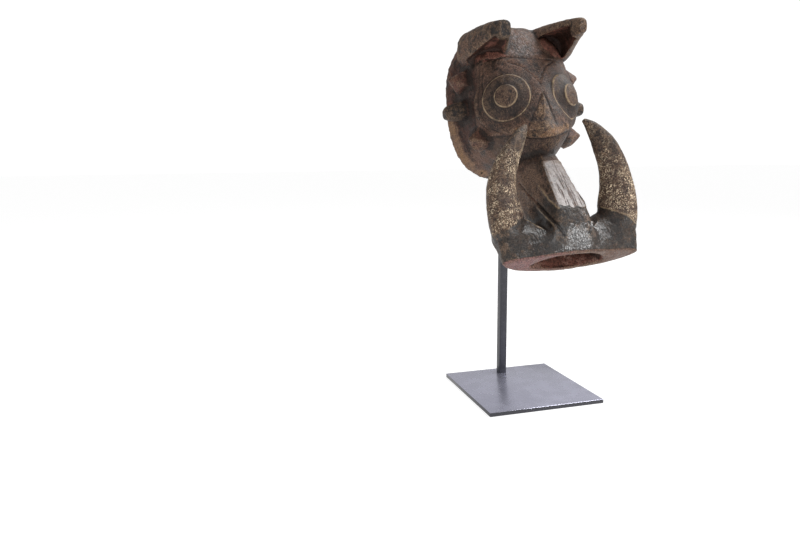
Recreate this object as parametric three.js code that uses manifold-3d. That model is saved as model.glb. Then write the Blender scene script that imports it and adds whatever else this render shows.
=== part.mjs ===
// Carved wooden warthog mask on a steel display stand.
// Millimetres, +Z up. The face looks along -Y and the mask is nearly alike on both sides of X = 0.
// The origin is the middle of the foot plate's underside.
import * as THREE from "three";
import { LoftGeometry } from "three/addons/geometries/LoftGeometry.js";
import { mergeVertices } from "three/addons/utils/BufferGeometryUtils.js";
import Module from "manifold-3d";

const wasm = await Module();
wasm.setup();

// Stand: a square plate with a square bar standing near its back edge.
const plateSide = 180;
const plateThick = 6;
const barSide = 12;
const barY = 70;
const barTop = 534;

// Head: stations from the prow under the eyes to the flared back rim.
// Each row is [y, half width, height of the widest place, top, bottom, roundness above, roundness below].
const headRows = [
  [-82, 3, 383, 385.5, 380.5, 1.5, 1.5],
  [-77, 14, 384, 396, 369, 1.5, 1.5],
  [-68, 26, 385, 412, 358, 1.5, 1.45],
  [-56, 39, 388, 436, 350, 1.6, 1.45],
  [-42, 51, 396, 459, 344, 1.9, 1.55],
  [-25, 63, 412, 481, 340, 2.2, 1.8],
  [-5, 73, 426, 507, 337, 2.4, 2],
  [18, 81, 435, 534, 333, 2.4, 2.2],
  [40, 86, 439, 547, 329, 2.4, 2.45],
  [58, 93, 440, 550, 321, 2.4, 2.7],
  [74, 98, 439, 551, 315, 2.4, 2.75],
  [100, 100, 439, 551, 311, 2.4, 2.75],
];
const headAround = 44;
const headAlong = 24;

// The back is cut off by a plane that leans back towards the crown.
const rimBottom = { y: 56, z: 318 };
const rimTop = { y: 88, z: 551 };

// Hollow for the wearer's face, one wall's thickness inside the head.
const wallThick = 14;
const hollowFrontY = -30;
const tieHole = { radius: 2.2, inset: 10, height: 338 };

// Eyes: stepped lens-shaped bosses, the step edges being the rings.
const eyeApex = { x: 52, y: -42, z: 443 };
const eyeTurn = 31;
const eyePitch = 15;
const eyeSag = 8.5;
const eyeRings = [15.5, 33, 47];
const ringStep = 2.6;
const eyeDepth = 40;

// Knobs on each side of the head: where the tip is, which way it points,
// and how much further out the left one reaches.
const knobs = [
  { tip: [106, 40, 474], toward: [0.96, 0.1, 0.26], long: 30, base: 23, blunt: 4, sides: 4, leftMore: 0 },
  { tip: [112.5, 30, 424], toward: [0.98, -0.05, -0.12], long: 36, base: 18, blunt: 11, sides: 12, leftMore: 5 },
  { tip: [91.5, -2, 386], toward: [0.93, -0.3, 0.1], long: 30, base: 23, blunt: 4, sides: 4, leftMore: 0 },
];

// Ears: scoops that reach forward from the top corners of the head.
// Each row is [y, middle x, middle z, half width, half height].
const earRows = [
  [48, 52, 512, 38, 32],
  [22, 53, 516, 33, 29],
  [0, 55, 522, 25.5, 23],
  [-26, 55.5, 527, 16.5, 17.5],
  [-45, 56, 529, 10, 13],
  [-60, 55, 528, 6, 9],
];
const earRoundness = 2.8;
const earTipY = { left: -47, right: -59 };
const rightEarLift = 4;
const earScoop = {
  left: { scale: 0.84, shift: [3, -4, -18], drop: 0.22 },
  right: { scale: 0.76, shift: [-10, -4, -9], drop: 0 },
  fromY: 30, toY: -36,
};

// Snout and muzzle lie in a frame of their own: "back" runs from the mouth up to the head,
// "rise" stands square to it, out of the snout's ridge.
const mouthCentre = new THREE.Vector3(0, -133, 222);
const snoutSlope = 45;
// Each row is [back, ridge rise, ridge half width, shoulder half width and drop, flank half width, bottom].
const snoutRows = [
  [0, 31, 13, 32, 7, 50, -24],
  [20, 47, 17, 28, 6, 46, -27],
  [42, 54, 18.5, 25, 6, 40, -31],
  [70, 55, 17.5, 24.5, 10, 37, -37],
  [96, 55, 15.5, 23, 13, 35, -43],
  [132, 55, 12.5, 19, 10, 34, -52],
  [176, 52, 12, 20, 10, 36, -61],
  [214, 48, 12, 20, 10, 36, -68],
];

// Muzzle: a wide bar across the end of the snout, cut flat around the mouth.
// Each row is [across, rise at the end face, crest, back edge, bottom].
const muzzleRows = [
  [0, 29, 40, 52, -26],
  [30, 27, 33, 46, -25],
  [50, 23, 30, 62, -22],
  [75, 20, 36, 66, -14],
  [90, 16, 33, 60, -3],
  [95.5, 14, 29, 58, 3],
  [99, 11, 21, 48, 8],
];
const endFaceTilt = 11;
const mouth = { half: 54, top: 21.5, bottom: -21.5, middle: -8, depth: 62 };

// Cheek groove on both flanks of the snout, as [across, back, rise].
const cheekGroove = { path: [[38, 138, 10], [34, 95, 27], [29, 56, 39], [21, 20, 44]], half: 3, deep: 6 };

// Tusks: each row is [x, y, z, width, thickness] of the section, from inside the muzzle to the tip.
const tuskRows = {
  left: [
    [76, -122, 244, 34, 28],
    [80, -119, 264, 50, 40],
    [83.5, -112, 292, 54, 37],
    [86, -107, 315, 48, 33],
    [82, -104.5, 341, 41, 29],
    [67.5, -102.5, 370, 31, 21],
    [53, -97, 391, 17, 13],
    [45, -91.5, 400, 6, 5],
  ],
  right: [
    [76, -122, 244, 34, 28],
    [80, -119, 264, 50, 40],
    [83.5, -112, 292, 53, 37],
    [84.5, -107, 315, 46, 33],
    [79, -104.5, 342, 39, 29],
    [63.5, -102.5, 373, 30, 21],
    [48, -97, 395.5, 17, 13],
    [39, -91.5, 405, 6, 5],
  ],
};
const tuskTurn = 25;
const tuskAround = 18;
const tuskAlong = 16;

// The carver's hand: everything sits a little higher towards +X.
const skewPerMm = 0.033;

const colours = { wood: 0x4a382c, bar: 0x45454d, plate: 0x5b5b68 };

const radians = THREE.MathUtils.degToRad;

// Value of one column of a list of rows at a place along it, by a smooth curve through the rows.
function smoothAt(rows, place, column) {
  const last = rows.length - 1;
  let i = 0;
  while (i < last - 1 && rows[i + 1][0] * Math.sign(rows[last][0] - rows[0][0])
    < place * Math.sign(rows[last][0] - rows[0][0])) i += 1;
  const slope = (k) => {
    const a = Math.max(k - 1, 0);
    const b = Math.min(k + 1, last);
    return (rows[b][column] - rows[a][column]) / (rows[b][0] - rows[a][0]);
  };
  const span = rows[i + 1][0] - rows[i][0];
  const t = THREE.MathUtils.clamp((place - rows[i][0]) / span, 0, 1);
  const t2 = t * t;
  const t3 = t2 * t;
  return rows[i][column] * (2 * t3 - 3 * t2 + 1) + rows[i + 1][column] * (3 * t2 - 2 * t3)
    + span * (slope(i) * (t3 - 2 * t2 + t) + slope(i + 1) * (t3 - t2));
}

// Point on a superellipse of unit half axes.
function rounded(angle, power) {
  const c = Math.cos(angle);
  const s = Math.sin(angle);
  return [Math.sign(c) * Math.abs(c) ** (2 / power), Math.sign(s) * Math.abs(s) ** (2 / power)];
}

function ring(count, pointAt) {
  return Array.from({ length: count }, (_, i) => pointAt((2 * Math.PI * i) / count));
}

function steps(count, from, to) {
  return Array.from({ length: count }, (_, i) => from + ((to - from) * i) / (count - 1));
}

// Closed solid from a geometry, turned right side out.
function solid(geometry) {
  const plain = new THREE.BufferGeometry();
  plain.setAttribute("position", geometry.attributes.position);
  plain.setIndex(geometry.index);
  const merged = mergeVertices(plain, 1e-3);
  const points = merged.attributes.position.array;
  const corners = [];
  for (let i = 0; i < merged.index.count; i += 3) {
    const [a, b, c] = [0, 1, 2].map((k) => merged.index.getX(i + k));
    if (a !== b && b !== c && c !== a) corners.push(a, b, c);
  }
  let volume = 0;
  const corner = (k) => new THREE.Vector3().fromArray(points, 3 * corners[k]);
  for (let i = 0; i < corners.length; i += 3) volume += corner(i).dot(corner(i + 1).cross(corner(i + 2)));
  if (volume < 0) for (let i = 0; i < corners.length; i += 3) {
    [corners[i], corners[i + 1]] = [corners[i + 1], corners[i]];
  }
  return new wasm.Manifold(new wasm.Mesh({
    numProp: 3, vertProperties: new Float32Array(points), triVerts: new Uint32Array(corners),
  }));
}

// Closed loft through rings of points, wound so that its walls and caps face out.
function loft(sections) {
  const [first, next] = sections;
  const middle = (points) => points.reduce((sum, point) => sum.add(point), new THREE.Vector3())
    .divideScalar(points.length);
  const facing = new THREE.Vector3();
  first.forEach((point, i) => facing.add(point.clone().cross(first[(i + 1) % first.length])));
  const forward = facing.dot(middle(next).sub(middle(first))) > 0;
  const wound = forward ? sections : sections.map((points) => [...points].reverse());
  return solid(new LoftGeometry(wound, { capStart: true, capEnd: true }));
}

// Geometry made along +Y, stood at a place so that +Y points along a direction.
function stoodAt(geometry, place, direction) {
  const turn = new THREE.Quaternion().setFromUnitVectors(new THREE.Vector3(0, 1, 0), direction);
  return geometry.applyQuaternion(turn).translate(place.x, place.y, place.z);
}

function toMesh(name, body, colour, roughness, metalness) {
  const { vertProperties, triVerts } = body.getMesh();
  const geometry = new THREE.BufferGeometry();
  geometry.setAttribute("position", new THREE.BufferAttribute(new Float32Array(vertProperties), 3));
  geometry.setIndex(new THREE.BufferAttribute(new Uint32Array(triVerts), 1));
  geometry.computeVertexNormals();
  const material = new THREE.MeshStandardMaterial({ color: colour, roughness, metalness });
  const mesh = new THREE.Mesh(geometry, material);
  mesh.name = name;
  return mesh;
}

// Head, as rings across Y, or the hollow inside it when an inset is given.
function headSolid(fromY, toY, rows, inset, around) {
  return loft(steps(rows, 0, 1).map((t) => {
    const y = fromY + (toY - fromY) * t ** 1.35;
    const [half, wide, top, bottom, above, below] = [1, 2, 3, 4, 5, 6]
      .map((column) => smoothAt(headRows, y, column));
    return ring(around, (angle) => {
      const upper = Math.sin(angle) >= 0;
      const [c, s] = rounded(angle, upper ? above : below);
      const reach = upper ? top - wide : wide - bottom;
      return new THREE.Vector3(c * (half - inset), y, wide + s * (reach - inset));
    });
  }));
}

// Everything behind the rim plane, as a thick slab.
function behindRim() {
  const lean = Math.atan2(rimTop.y - rimBottom.y, rimTop.z - rimBottom.z);
  const slab = new THREE.BoxGeometry(300, 120, 400).translate(0, 60, 0).rotateX(-lean);
  return solid(slab.translate(0, (rimBottom.y + rimTop.y) / 2, (rimBottom.z + rimTop.z) / 2));
}

function rimY(z) {
  return rimBottom.y + ((rimTop.y - rimBottom.y) * (z - rimBottom.z)) / (rimTop.z - rimBottom.z);
}

function eyeSolid(side) {
  const axis = new THREE.Vector3(
    side * Math.sin(radians(eyeTurn)) * Math.cos(radians(eyePitch)),
    -Math.cos(radians(eyeTurn)) * Math.cos(radians(eyePitch)),
    Math.sin(radians(eyePitch)),
  );
  const height = (r, step) => -eyeSag * (r / eyeRings[1]) ** 2 - step * ringStep;
  const profile = [new THREE.Vector2(0, 0)];
  let inner = 0;
  eyeRings.forEach((outer, step) => {
    const from = inner + (step ? 0.9 : 6);
    for (const r of steps(3, from, outer)) profile.push(new THREE.Vector2(r, height(r, step)));
    inner = outer;
  });
  const edge = eyeRings[2];
  profile.push(new THREE.Vector2(edge - 3, height(edge, 2) - 6));
  profile.push(new THREE.Vector2(edge - 14, -eyeDepth), new THREE.Vector2(0, -eyeDepth));
  const place = new THREE.Vector3(side * eyeApex.x, eyeApex.y, eyeApex.z);
  return solid(stoodAt(new THREE.LatheGeometry(profile, 36), place, axis));
}

function knobSolid(knob, side) {
  const toward = new THREE.Vector3(side * knob.toward[0], knob.toward[1], knob.toward[2]).normalize();
  const more = side < 0 ? knob.leftMore : 0;
  const long = knob.long + more;
  const tip = new THREE.Vector3(side * knob.tip[0], knob.tip[1], knob.tip[2]).addScaledVector(toward, more);
  const profile = [
    [0, 0], [knob.blunt * 0.7, -0.6], [knob.blunt, -knob.blunt * 0.6],
    [knob.base * 0.8, -long * 0.62], [knob.base, -long], [0, -long],
  ].map(([r, h]) => new THREE.Vector2(r, h));
  return solid(stoodAt(new THREE.LatheGeometry(profile, knob.sides), tip, toward));
}

function earRings(side, fromY, toY, rows, scale, shift, drop) {
  return steps(rows, fromY, toY).map((y) => {
    const [midX, midZ, half, tall] = [1, 2, 3, 4].map((column) => smoothAt(earRows, y, column));
    return ring(20, (angle) => {
      const [c, s] = rounded(angle, earRoundness);
      return new THREE.Vector3(
        side * (midX + shift[0] + c * half * scale),
        y + shift[1],
        midZ + shift[2] - drop * (y - toY) + s * tall * scale,
      );
    });
  });
}

function earSolid(side) {
  const tip = side < 0 ? earTipY.left : earTipY.right;
  const lift = side < 0 ? 0 : rightEarLift;
  const { scale, shift, drop } = side < 0 ? earScoop.left : earScoop.right;
  const ear = loft(earRings(side, earRows[0][0], tip, 11, 1, [0, 0, lift], 0));
  const lifted = [shift[0], shift[1], shift[2] + lift];
  return ear.subtract(loft(earRings(side, earScoop.fromY, earScoop.toY, 8, scale, lifted, drop)));
}

// Place in the snout's own frame, given across, back and rise.
function onSnout(across, back, rise) {
  const c = Math.cos(radians(snoutSlope));
  const s = Math.sin(radians(snoutSlope));
  return new THREE.Vector3(across, back * c - rise * s, back * s + rise * c).add(mouthCentre);
}

// Snout: a flat ridge on top, a chamfered shoulder on each side of it and rounded flanks.
function snoutSolid() {
  const first = snoutRows[0][0];
  const last = snoutRows[snoutRows.length - 1][0];
  return loft(steps(16, first, last).map((back) => {
    const [ridge, ridgeHalf, shoulder, drop, half, bottom] = [1, 2, 3, 4, 5, 6]
      .map((column) => smoothAt(snoutRows, back, column));
    const right = [
      [ridgeHalf, ridge], [shoulder, ridge - drop], [half * 0.92, ridge * 0.35],
      [half, 0], [half * 0.93, bottom * 0.5], [half * 0.66, bottom * 0.86],
    ];
    const left = right.map(([x, rise]) => [-x, rise]).reverse();
    return [[0, ridge + 1], ...right, [0, bottom], ...left].map(([x, rise]) => onSnout(x, back, rise));
  }));
}

// Muzzle: sections square to X that shrink towards the cheeks.
function muzzleSolid() {
  const end = muzzleRows[muzzleRows.length - 1][0];
  return loft(steps(23, -1, 1).map((t) => {
    const across = end * Math.sin((t * Math.PI) / 2);
    const [top, crest, back, bottom] = [1, 2, 3, 4]
      .map((column) => smoothAt(muzzleRows, Math.abs(across), column));
    const swell = crest - top;
    const level = (share) => bottom + (crest - bottom) * share;
    return [
      [-16, level(0.05)], [-16, top - 1], [-5, top], [8, top + swell * 0.45],
      [back * 0.42, top + swell * 0.88], [back * 0.66, crest], [back * 0.88, level(0.88)],
      [back, level(0.65)], [back + 2, level(0.42)], [back - 3, level(0.18)],
      [back * 0.75, bottom], [back * 0.35, level(-0.03)], [0, bottom],
    ].map(([alongSnout, rise]) => onSnout(across, alongSnout, rise));
  }));
}

// Everything beyond the flat end face of the muzzle.
function beyondEndFace() {
  const slab = new THREE.BoxGeometry(300, 60, 160).translate(0, -30, 0);
  slab.rotateX(radians(snoutSlope + endFaceTilt));
  return solid(slab.translate(mouthCentre.x, mouthCentre.y, mouthCentre.z));
}

// Mouth: a lens-shaped pocket that narrows as it goes in.
function mouthSolid() {
  return loft([[-20, 1.02], [0, 1], [mouth.depth * 0.5, 0.86], [mouth.depth, 0.6]].map(([back, scale]) => (
    ring(28, (angle) => {
      const [c, s] = [Math.cos(angle), Math.sin(angle)];
      const reach = s > 0 ? mouth.top - mouth.middle : mouth.middle - mouth.bottom;
      const rise = mouth.middle + Math.sign(s) * Math.abs(s) ** 1.15 * reach * scale;
      return onSnout(c * mouth.half * scale, back, rise);
    })
  )));
}

// Tusk: oval sections along a curve, the long way of each turned forward on its outer side.
function tuskSolid(side) {
  const rows = side < 0 ? tuskRows.left : tuskRows.right;
  const centres = new THREE.CatmullRomCurve3(rows.map(([x, y, z]) => new THREE.Vector3(side * x, y, z)));
  const sizes = rows.map((row, i) => [i / (rows.length - 1), row[3], row[4]]);
  const out = new THREE.Vector3(side * Math.cos(radians(tuskTurn)), -Math.sin(radians(tuskTurn)), 0);
  return loft(steps(tuskAlong, 0, 1).map((t) => {
    const centre = centres.getPoint(t);
    const tangent = centres.getTangent(t);
    const wide = out.clone().addScaledVector(tangent, -out.dot(tangent)).normalize();
    const thick = new THREE.Vector3().crossVectors(tangent, wide);
    return ring(tuskAround, (angle) => centre.clone()
      .addScaledVector(wide, (Math.cos(angle) * smoothAt(sizes, t, 1)) / 2)
      .addScaledVector(thick, (Math.sin(angle) * smoothAt(sizes, t, 2)) / 2));
  }));
}

// Long V-shaped cut that runs from the flank of the snout over its shoulder to the nose.
function cheekGrooveSolid(side) {
  const { path, half, deep } = cheekGroove;
  const line = new THREE.CatmullRomCurve3(path.map((place) => new THREE.Vector3(...place)));
  return loft(steps(11, 0, 1).map((t) => {
    const open = Math.sin(Math.PI * (0.05 + 0.9 * t)) ** 0.5;
    const lean = radians(10 + 55 * t);
    const middle = line.getPoint(t);
    return [[deep, -half * open], [deep, half * open], [-deep * open, 0]].map(([out, over]) => onSnout(
      side * (middle.x + out * Math.cos(lean) - over * Math.sin(lean)),
      middle.y,
      middle.z + out * Math.sin(lean) + over * Math.cos(lean),
    ));
  }));
}

// Small round hole through the rim for a cord.
function tieHoleSolid(side) {
  const z = tieHole.height;
  const half = smoothAt(headRows, rimY(z), 1) - wallThick / 2;
  const wide = smoothAt(headRows, rimY(z), 2);
  const reach = z > wide ? smoothAt(headRows, rimY(z), 3) - wide : wide - smoothAt(headRows, rimY(z), 4);
  const x = half * Math.sqrt(1 - ((z - wide) / reach) ** 2);
  const toward = new THREE.Vector3(x / half ** 2, 0, (z - wide) / reach ** 2).normalize();
  toward.x *= side;
  const drill = new THREE.CylinderGeometry(tieHole.radius, tieHole.radius, 4 * wallThick, 8);
  return solid(stoodAt(drill, new THREE.Vector3(side * x, rimY(z) - tieHole.inset, z), toward));
}

function maskSolid() {
  const sides = [-1, 1];
  let body = headSolid(headRows[0][0], 100, headAlong, 0, headAround).subtract(behindRim());
  for (const side of sides) {
    body = body.add(eyeSolid(side));
    body = body.add(earSolid(side));
    for (const knob of knobs) body = body.add(knobSolid(knob, side));
  }
  body = body.add(snoutSolid()).add(muzzleSolid());
  for (const side of sides) {
    body = body.subtract(cheekGrooveSolid(side)).add(tuskSolid(side));
  }
  body = body.subtract(beyondEndFace()).subtract(mouthSolid());
  body = body.subtract(behindRim()).subtract(headSolid(hollowFrontY, 104, 14, wallThick, 32));
  for (const side of sides) body = body.subtract(tieHoleSolid(side));
  return body;
}

const mask = toMesh("mask", maskSolid(), colours.wood, 0.75, 0);
mask.geometry.applyMatrix4(new THREE.Matrix4().makeShear(0, skewPerMm, 0, 0, 0, 0));

const bar = new THREE.Mesh(
  new THREE.BoxGeometry(barSide, barSide, barTop - plateThick),
  new THREE.MeshStandardMaterial({ color: colours.bar, roughness: 0.5, metalness: 0.3 }),
);
bar.name = "stand_rod";
bar.position.set(0, barY, (barTop + plateThick) / 2);

const plate = new THREE.Mesh(
  new THREE.BoxGeometry(plateSide, plateSide, plateThick),
  new THREE.MeshStandardMaterial({ color: colours.plate, roughness: 0.4, metalness: 0.3 }),
);
plate.name = "base_plate";
plate.position.set(0, 0, plateThick / 2);

const maskOnStand = new THREE.Group();
maskOnStand.add(mask, bar, plate);

export default maskOnStand;
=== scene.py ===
import math

import bpy
import numpy as np
from mathutils import Matrix, Vector


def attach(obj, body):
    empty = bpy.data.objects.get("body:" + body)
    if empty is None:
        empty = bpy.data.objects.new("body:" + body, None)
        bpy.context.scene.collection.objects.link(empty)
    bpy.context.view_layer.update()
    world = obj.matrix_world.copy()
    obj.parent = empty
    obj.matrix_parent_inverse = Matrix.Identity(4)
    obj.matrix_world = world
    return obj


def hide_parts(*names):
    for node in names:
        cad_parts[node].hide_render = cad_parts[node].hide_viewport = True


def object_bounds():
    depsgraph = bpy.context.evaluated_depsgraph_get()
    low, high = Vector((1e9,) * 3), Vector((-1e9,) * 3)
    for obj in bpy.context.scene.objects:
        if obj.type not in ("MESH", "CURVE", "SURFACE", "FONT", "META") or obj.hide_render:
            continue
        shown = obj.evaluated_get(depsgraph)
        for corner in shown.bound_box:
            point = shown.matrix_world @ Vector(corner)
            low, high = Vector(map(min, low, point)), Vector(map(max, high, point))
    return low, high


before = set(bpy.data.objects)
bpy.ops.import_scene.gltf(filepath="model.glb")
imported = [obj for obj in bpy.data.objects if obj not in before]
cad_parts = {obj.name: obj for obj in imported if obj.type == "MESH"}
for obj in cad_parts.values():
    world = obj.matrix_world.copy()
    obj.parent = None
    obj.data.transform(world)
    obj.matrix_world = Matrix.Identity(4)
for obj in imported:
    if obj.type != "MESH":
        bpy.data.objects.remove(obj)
cadLow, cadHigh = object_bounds()
print("frame loaded:", sorted(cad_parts))

weldGap = 0.00002  # points closer than this become one, in metres


# small helpers for picking, copying and finishing pieces
def pickOnly(piece):
    bpy.ops.object.select_all(action="DESELECT")
    piece.select_set(True)
    bpy.context.view_layer.objects.active = piece


def copyOfNode(nodeName, pieceName):
    pickOnly(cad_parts[nodeName])
    bpy.ops.object.duplicate()
    piece = bpy.context.object
    piece.parent = None
    piece.matrix_world = Matrix()
    piece.name = piece.data.name = pieceName
    for key in [key for key in piece.keys() if key.startswith("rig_")]:
        del piece[key]
    pickOnly(piece)
    bpy.ops.object.mode_set(mode="EDIT")
    bpy.ops.mesh.select_all(action="SELECT")
    bpy.ops.mesh.remove_doubles(threshold=weldGap)
    bpy.ops.object.mode_set(mode="OBJECT")
    return piece


def applied(piece, kind, **settings):
    pickOnly(piece)
    step = piece.modifiers.new(kind.lower(), kind)
    for key, value in settings.items():
        setattr(step, key, value)
    bpy.ops.object.modifier_apply(modifier=step.name)


def seated(piece, nodeName, material):
    piece.data.materials.clear()
    piece.data.materials.append(material)
    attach(piece, "root")
    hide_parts(nodeName)


# small helpers for node trees: a socket or a plain value may feed any input
def put(tree, kind, inputs=None, **settings):
    node = tree.nodes.new(kind)
    for key, value in settings.items():
        setattr(node, key, value)
    for key, value in (inputs or {}).items():
        if isinstance(value, bpy.types.NodeSocket):
            tree.links.new(value, node.inputs[key])
        else:
            node.inputs[key].default_value = value
    return node


def calc(tree, operation, a, b=0.0):
    return put(tree, "ShaderNodeMath", {0: a, 1: b}, operation=operation).outputs[0]


def between(tree, value, low, high, start=0.0, end=1.0):
    return put(tree, "ShaderNodeMapRange", {0: value, 1: low, 2: high, 3: start, 4: end},
               interpolation_type="SMOOTHSTEP").outputs[0]


def blended(tree, share, a, b, mode="MIX"):
    return put(tree, "ShaderNodeMix", {0: share, 6: a, 7: b}, data_type="RGBA", blend_type=mode).outputs[2]


def noiseOf(tree, place, scale, detail=3.0, rough=0.55, distort=0.0):
    return put(tree, "ShaderNodeTexNoise", {"Vector": place, "Scale": scale, "Detail": detail,
               "Roughness": rough, "Distortion": distort}).outputs["Fac"]


def fieldOf(tree, name):
    return put(tree, "ShaderNodeAttribute", attribute_name=name).outputs["Fac"]


def stretched(tree, place, scale, turn=(0, 0, 0)):
    turned = put(tree, "ShaderNodeMapping", {"Vector": place, "Rotation": turn}).outputs[0]
    return put(tree, "ShaderNodeMapping", {"Vector": turned, "Scale": scale}).outputs[0]


# camera at the picture's viewing angle
pictureView = {
    "place": (-0.4446, -0.8894, 0.3568),
    "azimuth": -15.82, "pitch": 9.34, "roll": -0.62,
    "lens": 29.466, "sensor": 36.0, "nearest": 0.01,
}


def addCamera():
    azimuth, pitch, roll = (math.radians(pictureView[key]) for key in ("azimuth", "pitch", "roll"))
    back = Vector((math.sin(azimuth) * math.cos(pitch), -math.cos(azimuth) * math.cos(pitch),
                   math.sin(pitch)))
    level = Vector((math.cos(azimuth), math.sin(azimuth), 0))
    upward = back.cross(level)
    right = level * math.cos(roll) + upward * math.sin(roll)
    up = upward * math.cos(roll) - level * math.sin(roll)
    bpy.ops.object.camera_add(location=pictureView["place"])
    camera = bpy.context.object
    turned = Matrix((right, up, back)).transposed().to_4x4()
    camera.matrix_world = Matrix.Translation(pictureView["place"]) @ turned
    camera.data.sensor_fit = "HORIZONTAL"
    camera.data.sensor_width = pictureView["sensor"]
    camera.data.lens = pictureView["lens"]
    camera.data.clip_start = pictureView["nearest"]
    bpy.context.scene.camera = camera


addCamera()
print("camera placed")

# the mask's own sizes, in millimetres, before the carver's lean towards +X
maskForm = {
    "lean": 0.033,
    "eyeApex": (52, -42, 443), "eyeTurn": 31, "eyePitch": 15, "eyeRings": (15.5, 33, 47), "offEye": 90.0,
    "mouthCentre": (-133, 222), "endFaceTilt": 56,
    "mouthHalf": 54, "mouthMiddle": -8, "mouthRoof": 29.5, "mouthFloor": 13.5, "mouthPower": 0.575,
    "mouthTaper": ((0, 1), (31, 0.86), (62, 0.6)),
    "ridgeHalf": ((20, 17), (42, 18.5), (70, 17.5), (96, 15.5), (132, 12.5), (176, 12)),
    "ridgeEnd": (47, 0.2),  # where the bare strip stops, and its slant
    "rimBottom": (56, 318), "rimTop": (88, 551), "wall": 14, "headPower": 2.4,
    # y, half width, widest height, top, bottom
    "head": (
        (-82, 3, 383, 385.5, 380.5), (-68, 26, 385, 412, 358), (-42, 51, 396, 459, 344),
        (-25, 63, 412, 481, 340), (-5, 73, 426, 507, 337), (18, 81, 435, 534, 333),
        (40, 86, 439, 547, 329), (58, 93, 440, 550, 321), (74, 98, 439, 551, 315),
        (100, 100, 439, 551, 311),
    ),
    # x, y, z, width
    "leftTusk": (
        (76, -122, 244, 34), (80, -119, 264, 50), (83.5, -112, 292, 54), (86, -107, 315, 48),
        (82, -104.5, 341, 41), (67.5, -102.5, 370, 31), (53, -97, 391, 17), (45, -91.5, 400, 6),
    ),
    "rightTusk": (
        (76, -122, 244, 34), (80, -119, 264, 50), (83.5, -112, 292, 53), (84.5, -107, 315, 46),
        (79, -104.5, 342, 39), (63.5, -102.5, 373, 30), (48, -97, 395.5, 17), (39, -91.5, 405, 6),
    ),
    "tuskSteps": 50, "tuskLeast": 6,
    "tuskFoot": (288, 58, 0.53),  # height, how far out, slope
    # y, middle x, middle z, half width, half height
    "ear": (
        (48, 52, 512, 38, 32), (22, 53, 516, 33, 29), (0, 55, 522, 25.5, 23),
        (-26, 55.5, 527, 16.5, 17.5), (-45, 56, 529, 10, 13), (-60, 55, 528, 6, 9),
    ),
    "earPower": 2.8, "rightEarLift": 4,
    "leftTip": -31.0, "rightTip": -40.0, "rightTipShare": 0.2, "rightScoopShare": 0.6,
    "nose": (447, 0.43, 25, 0.15),  # top, spread, widest half, drift
    "noseCutWidth": 1.7, "leftCutShare": 0.4,
    "crownLine": ((0, 497), (34, 499), (64, 499)),
    "knobCorner": (66, 6, 358),
    # tip, direction out of the head, length, base, tip's own width
    "knobs": {
        "upper": ((106, 40, 474), (0.96, 0.1, 0.26), 30, 23, 4),
        "middle": ((112.5, 30, 424), (0.98, -0.05, -0.12), 36, 18, 11),
        "lower": ((91.5, -2, 386), (0.93, -0.3, 0.1), 30, 23, 4),
    },
    "fray": ((7, 11, 1.0), (2.6, 12, 0.6)),  # size, seed, share
}

# soft borders of the zones: where each starts, where it is full, and how far it frays
zoneBorders = {
    "eyeDepth": (-38, -32), "eyeFacing": (-0.1, 0.15),
    "tuskGap": (1.45, 1.2), "tuskSide": (34, 40), "tuskFront": (-60, -75), "tuskFoot": (-2, 2, -5),
    "ridgeSide": (1.5, -0.5), "ridgeRise": (44, 49), "ridgeTop": (132, 126), "ridgeEnd": (-3, 4, -9),
    "endFace": (2.2, 1.0, 0.4), "pale": (70, -45, 30),
    "mouthRoof": (2.5, 1.5), "mouthFloor": (-2.5, -1.5), "mouthSide": (1.08, 1.04), "mouthEnd": (68, 64),
    "muzzleBack": (108, 46, 22), "muzzleTop": (330, 300),
    "flankFront": (46, 66), "flankBack": (150, 136), "flankOuter": (52, 44), "flankInner": (16, 20),
    "flankRise": (-20, 0),
    "earHeight": (478, 488), "earBack": (46, 38), "earSide": (14, 20), "earSkin": (1.1, 1.02),
    "scoopDeep": (0.88, 0.8), "scoopFront": (-36, -30), "scoopFacing": (0.05, 0.3),
    "earTip": (2, -2, 3), "earTipHeight": (484, 492),
    "underEarSkin": (1.1, 1.05), "underEarHeight": (498, 501), "underEarSide": (33, 37),
    "underEarBack": (34, 24),
    "hollowSkin": (1.14, 1.08), "hollowFront": (-36, -32), "hollowLow": (300, 320),
    "headFront": (-20, 5), "headLow": (320, 335), "rimBack": (24, 12, 8), "rimFacing": (1.0, 0.5),
    "bandSide": (66, 74), "bandFront": (2, 10), "bandTop": (506, 494),
    "noseLedge": (-0.5, 1.5), "noseTop": (449, 444), "noseFront": (-40, -46), "noseEdge": (2.5, -2.5, 3),
    "noseCutLow": (394, 404),
    "baseLedge": (-0.5, 1), "baseTop": (17, 9), "baseSide": (52, 40), "baseFront": (-40, -52),
    # the crown's lit part: its right border is where the right ear's shadow begins
    "crownLow": (1.5, 3.5), "crownLeft": (-37, -32), "crownRight": (24, -2, 12),
    "crownFront": (-30, -20), "crownFacing": (-0.2, 0.2),
    "throatLedge": (0.8, -1.2), "throatLow": (338, 350), "throatBack": (10, -10), "throatSide": (70, 58),
    "knobSide": (1.5, 1.05), "knobRoot": (-0.95, -0.6),
    "flowFace": (5, 16), "flowBack": (84, 64), "flowRise": (4, 14), "flowSide": (66, 52),
    "muzzleRim": (9, 4), "muzzleRimSide": (18, 24), "knobCorner": (20, 11),
    "outermost": (0.5, 5), "eyeDish": (52, 48), "ledgeFade": (342, 374),
    "bulgeSide": (86, 94), "bulgeFront": (-60, -80),
}

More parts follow.
